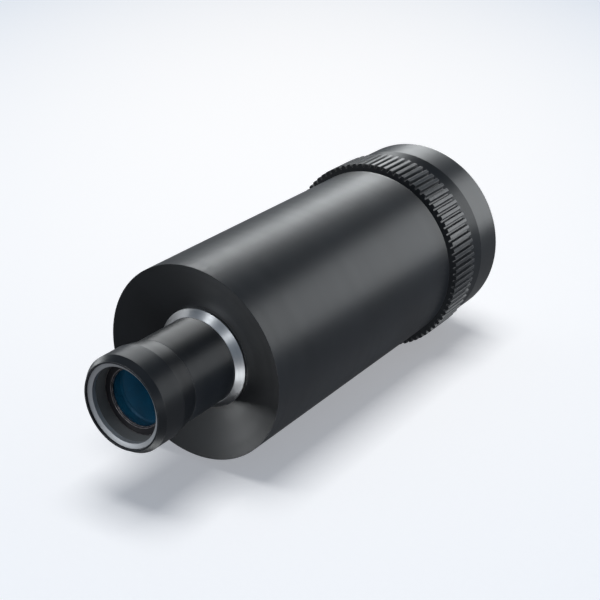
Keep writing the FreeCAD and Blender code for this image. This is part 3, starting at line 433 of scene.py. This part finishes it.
def cut_thread(node, body):
    """Copy of a turned piece whose plain thread cylinder gets a helical groove."""
    plain = frame["nodes"][node]
    mesh = plain.data.copy()
    build = bmesh.new()
    build.from_mesh(mesh)
    start = min(point.co.z for point in build.verts)
    crest = max(math.hypot(point.co.x, point.co.y) for point in build.verts
                if point.co.z < start + THREAD_PITCH)
    sides = [edge for edge in build.edges
             if all(abs(math.hypot(point.co.x, point.co.y) - crest) < NEARLY for point in edge.verts)
             and abs(edge.verts[0].co.z - edge.verts[1].co.z) > THREAD_PITCH]
    low = min(point.co.z for edge in sides for point in edge.verts)
    high = max(point.co.z for edge in sides for point in edge.verts)
    rows = round((high - low) / THREAD_PITCH * ROWS_A_PITCH)
    bmesh.ops.subdivide_edges(build, edges=sides, cuts=rows, use_grid_fill=True)
    for point in build.verts:
        radius = math.hypot(point.co.x, point.co.y)
        if abs(radius - crest) > NEARLY or not low < point.co.z < high:
            continue
        turn = math.atan2(point.co.y, point.co.x) / math.tau
        phase = (point.co.z - low) / THREAD_PITCH - turn
        fade = min(1.0, (point.co.z - low) / RUN_OUT, (high - point.co.z) / RUN_OUT)
        groove = THREAD_DEPTH * fade * (0.5 - 0.5 * math.cos(math.tau * phase))
        point.co.x *= 1.0 - groove / radius
        point.co.y *= 1.0 - groove / radius
    build.to_mesh(mesh)
    build.free()
    mesh.attributes.remove(mesh.attributes["custom_normal"])
    mesh.set_sharp_from_angle(angle=CREASE)
    piece = bpy.data.objects.new("threaded_" + node, mesh)
    bpy.context.scene.collection.objects.link(piece)
    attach(piece, body)
    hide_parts(node)
    return piece


threaded_mount = cut_thread("mount_ring", "housing")
mount_steel = bare_metal("mount steel", (0.60, 0.60, 0.605), 0.24)
threaded_mount.data.materials.clear()
threaded_mount.data.materials.append(mount_steel)


# Shim and mount screws. The shim is a steel washer between flange and housing that sets the focus.
# Four countersunk screws of blackened steel hold the mount.
give(dark_steel, "back_focus_shim", "mount_screws")


# Floor. A matt sheet of pale paper that touches the ribs, as where the lens lies on its side. It keeps the
# shadow and glows as a painted pool of light, brightest in an oval. It is seen only from its upper side, and
# fades out at its rim.
UP = Vector((1.0, -1.0, 0.0)).normalized()       # away from the floor
PAPER_SHADES = ((0.785, 0.785, 0.785), (0.800, 0.800, 0.800))
PAPER_FIBRES = 700.0
FLOOR_REACH = 1.6
FLOOR_SIDES = 96
FADE_BEGINS = 0.9
FADE_ENDS = 1.55
OVAL_PLACE = (0.197, -0.297, 0.0)                # middle of the oval of painted light, across and along the lens
OVAL_TURN = math.radians(-55.3)
OVAL_SIZE = (0.640, 0.295, 1.0)
OVAL_GLOW = (0.388, 0.377, 0.373)
OUTER_GLOW = (0.185, 0.225, 0.290)
THROWN_GLOW = 0.25                               # part of the glow that reflections see
THROWN_PAPER = (0.20, 0.20, 0.20, 1.0)
rib_top = max(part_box("aperture_ring")[1][:2])
barrel_middle = Vector((0.0, 0.0, 0.085))


def make_floor():
    """Round sheet, level with the tops of the ribs."""
    mesh = bpy.data.meshes.new("floor")
    build = bmesh.new()
    bmesh.ops.create_circle(build, cap_ends=True, segments=FLOOR_SIDES, radius=FLOOR_REACH)
    build.to_mesh(mesh)
    build.free()
    floor = bpy.data.objects.new("floor", mesh)
    floor.rotation_euler = UP.to_track_quat("Z", "Y").to_euler()
    floor.location = barrel_middle - UP * rib_top
    bpy.context.scene.collection.objects.link(floor)
    return floor


def paper_material():
    """Paper that glows as a painted pool of light, whitest in a long oval, bluer round it, and dimmer in
    reflections.
    """
    material = new_material("pale paper")
    tree = material.node_tree
    ray = add(tree, "LightPath").outputs
    place = add(tree, "TexCoord").outputs["Object"]
    away = add(tree, "VectorMath", {0: place}, operation="LENGTH").outputs["Value"]
    fibres = add(tree, "TexNoise", {"Vector": place, "Scale": PAPER_FIBRES, "Detail": 4.0}).outputs[0]
    sheet = colour_ramp(tree, fibres, *PAPER_SHADES)
    seen_sheet = add(tree, "Mix", {0: ray["Is Glossy Ray"], 6: sheet, 7: THROWN_PAPER},
                     data_type="RGBA").outputs[2]
    paper = add(tree, "BsdfDiffuse", {"Color": seen_sheet})
    oval = add(tree, "Mapping", {"Vector": place, "Location": OVAL_PLACE, "Rotation": (0.0, 0.0, OVAL_TURN),
                                 "Scale": OVAL_SIZE}, vector_type="TEXTURE").outputs[0]
    reach = add(tree, "VectorMath", {0: oval, 1: oval}, operation="DOT_PRODUCT").outputs["Value"]
    glow = colour_ramp(tree, reach, OVAL_GLOW, OUTER_GLOW, 0.0, 1.0)
    thrown = add(tree, "Math", {0: ray["Is Glossy Ray"], 1: ray["Is Transmission Ray"]},
                 operation="MAXIMUM").outputs[0]
    strength = add(tree, "Math", {0: thrown, 1: THROWN_GLOW, 2: ray["Is Camera Ray"]},
                   operation="MULTIPLY_ADD").outputs[0]
    shine = add(tree, "Emission", {"Color": glow, "Strength": strength})
    lit = add(tree, "AddShader", {0: paper.outputs[0], 1: shine.outputs[0]})
    back = add(tree, "NewGeometry").outputs["Backfacing"]
    rim = stretch(tree, away, 0.0, 1.0, FADE_BEGINS, FADE_ENDS)
    gone = add(tree, "Math", {0: back, 1: rim}, operation="MAXIMUM").outputs[0]
    clear = add(tree, "BsdfTransparent")
    surface = add(tree, "MixShader", {0: gone, 1: lit.outputs[0], 2: clear.outputs[0]})
    return finish_material(material, surface)


floor = make_floor()
floor.data.materials.append(paper_material())


# Studio light. Broad soft boxes beyond the camera end draw the two streaks along barrel and nose.
# Collar, mouth and dished face have boxes of their own. Level ones light the sides for other
# views, and one overhead lights the paper.
WATTS_A_SQUARE_METRE = 4.0        # of an area lamp whose face has a brightness of 1
DAYLIGHT = (0.955, 0.985, 1.0)    # a little cool
WHITE = (1.0, 1.0, 1.0)
BOX_DISTANCE = 0.7
OVERHEAD_DISTANCE = 2.0


def soft_box(name, bearing, rise, width, height, brightness, lights, shaded_by,
             target=barrel_middle, distance=BOX_DISTANCE, colour=DAYLIGHT):
    """Area lamp at a bearing round the axis and a rise above the level, both in degrees."""
    turn, lift = math.radians(bearing), math.radians(rise)
    way = Vector((math.cos(lift) * math.cos(turn), math.cos(lift) * math.sin(turn), math.sin(lift)))
    lamp = bpy.data.lights.new(name, "AREA")
    lamp.shape = "RECTANGLE"
    lamp.size, lamp.size_y = width, height
    lamp.color = colour
    lamp.energy = WATTS_A_SQUARE_METRE * width * height * brightness
    box = bpy.data.objects.new(name, lamp)
    box.location = target + way * distance
    box.rotation_euler = way.to_track_quat("Z", "Y").to_euler()
    box.visible_camera = False
    box.light_linking.receiver_collection = lights
    box.light_linking.blocker_collection = shaded_by
    bpy.context.scene.collection.objects.link(box)


def set_of(name, pieces):
    """Pieces that a lamp lights, or that throw shadows in its light."""
    collection = bpy.data.collections.new(name)
    for piece in pieces:
        collection.objects.link(piece)
    return collection


nodes = frame["nodes"]
cap = set_of("cap", [nodes["nose_cap"]])
mouth = set_of("mouth", [nodes["front_insert_ring"], nodes["front_retainer"], nodes["front_lens"]])
nose = set_of("nose", [nodes["nose_tube"], *cap.objects, *mouth.objects])
collar = set_of("collar", [nodes["nose_collar"]])
barrel = set_of("barrel", [nodes["main_barrel"]])
unringed = set_of("unringed", [nodes["main_barrel"], *nose.objects])
whole_lens = set_of("whole lens", [*nodes.values(), threaded_mount])
rear = set_of("rear", [piece for piece in whole_lens.objects
                       if piece not in (*unringed.objects, *collar.objects)])
sides = set_of("sides", [*rear.objects, nodes["main_barrel"], nodes["nose_tube"]])
paper_sheet = set_of("paper sheet", [floor])
nose_middle = Vector((0.0, 0.0, 0.14))

soft_box("barrel upper box", -2, -49, 0.20, 0.66, 4.7, barrel, unringed)
soft_box("barrel wide box", 14, -49, 0.45, 0.62, 0.22, barrel, unringed)
soft_box("barrel side box", -104, -49, 0.45, 0.62, 2.6, barrel, unringed)
soft_box("rear upper box", -1, -49, 0.24, 0.66, 3.6, rear, whole_lens)
soft_box("rear side box", -104, -49, 0.45, 0.62, 3.3, rear, whole_lens)
soft_box("nose upper box", -1, -48, 0.57, 0.36, 2.5, nose, nose, nose_middle)
soft_box("nose side box", -111, -50, 0.40, 0.46, 1.6, nose, nose, nose_middle)
soft_box("collar top box", -33, 27, 0.10, 0.36, 2.3, collar, collar, nose_middle)
soft_box("collar right box", -86, 34, 0.08, 0.36, 1.9, collar, collar, nose_middle)
soft_box("collar left fill", 24, 17, 0.30, 0.40, 0.75, collar, collar, nose_middle)
soft_box("collar right fill", -170, 20, 0.28, 0.40, 0.95, collar, collar, nose_middle)
soft_box("front soft box", 30, 60, 0.20, 0.30, 1.2, whole_lens, whole_lens)
soft_box("mouth soft box", -50, 30, 0.30, 0.20, 7.5, mouth, nose, nose_middle)
soft_box("mouth left box", 30, 60, 0.20, 0.30, 1.6, mouth, nose, nose_middle)
soft_box("bore soft box", -12, 54, 0.30, 0.24, 16.0, cap, nose, nose_middle)
soft_box("face soft box", 57, 34, 0.10, 0.30, 6.9, barrel, unringed)
soft_box("face right box", 85, 8, 0.25, 0.40, 0.45, barrel, barrel)
soft_box("left level box", 40, 5, 0.20, 0.60, 8.0, sides, whole_lens)
soft_box("right level box", -130, 12, 0.20, 0.50, 6.5, sides, whole_lens)
soft_box("back level box", 163, 12, 0.22, 0.50, 6.0, sides, whole_lens)
soft_box("cap left box", 40, 2, 0.20, 0.60, 3.4, cap, whole_lens)
soft_box("cap right box", -130, 2, 0.20, 0.60, 3.6, cap, whole_lens)
soft_box("cap back box", 138, -4, 0.22, 0.40, 2.6, cap, whole_lens)
soft_box("overhead box", -45, 0, 1.10, 1.10, 5.8, paper_sheet, whole_lens,
         distance=OVERHEAD_DISTANCE, colour=WHITE)


# Room. Pale walls all round, nearly white to the camera. For every piece they are only a weak fill,
# a little blue.
FILL_COLOUR = (0.70, 0.84, 1.00, 1.0)
FILL_STRENGTH = 0.18
WALL_COLOUR = (0.87, 0.90, 0.95, 1.0)


def make_room():
    """World that the camera sees as pale walls, and every other ray as a weak fill."""
    world = bpy.data.worlds.new("pale room")
    bpy.context.scene.world = world
    world.use_nodes = True
    tree = world.node_tree
    tree.nodes.clear()
    ray = add(tree, "LightPath").outputs
    fill = add(tree, "Background", {"Color": FILL_COLOUR, "Strength": FILL_STRENGTH})
    seen = add(tree, "Background", {"Color": WALL_COLOUR, "Strength": 1.0})
    mixed = add(tree, "MixShader", {0: ray["Is Camera Ray"], 1: fill.outputs[0], 2: seen.outputs[0]})
    output = tree.nodes.new("ShaderNodeOutputWorld")
    tree.links.new(mixed.outputs[0], output.inputs["Surface"])


make_room()


# Camera. It stands before the nose and above the floor, 0.4 m from the middle of the lens. Its place
# and angle of view were worked out from the circles and edges of the photograph.
CAMERA_PLACE = Vector((-0.02943, -0.25746, 0.37730))
CAMERA_FORWARD = Vector((0.07387, 0.64989, -0.75643))
CAMERA_UPWARD = Vector((0.80712, -0.48448, -0.33741))
CAMERA_LENS = 77.66
FILM_WIDTH = 36.0
NEAREST = 0.01


def make_camera():
    """Camera at the photograph's place, turned as it was."""
    data = bpy.data.cameras.new("camera")
    data.lens = CAMERA_LENS
    data.sensor_width = FILM_WIDTH
    data.clip_start = NEAREST
    camera = bpy.data.objects.new("camera", data)
    sideways = CAMERA_FORWARD.cross(CAMERA_UPWARD).normalized()
    upward = sideways.cross(CAMERA_FORWARD).normalized()
    facing = Matrix((sideways, upward, -CAMERA_FORWARD)).transposed()
    camera.matrix_world = Matrix.Translation(CAMERA_PLACE) @ facing.to_4x4()
    bpy.context.scene.collection.objects.link(camera)
    return camera


bpy.context.scene.camera = make_camera()
bpy.context.scene.view_settings.view_transform = "Standard"
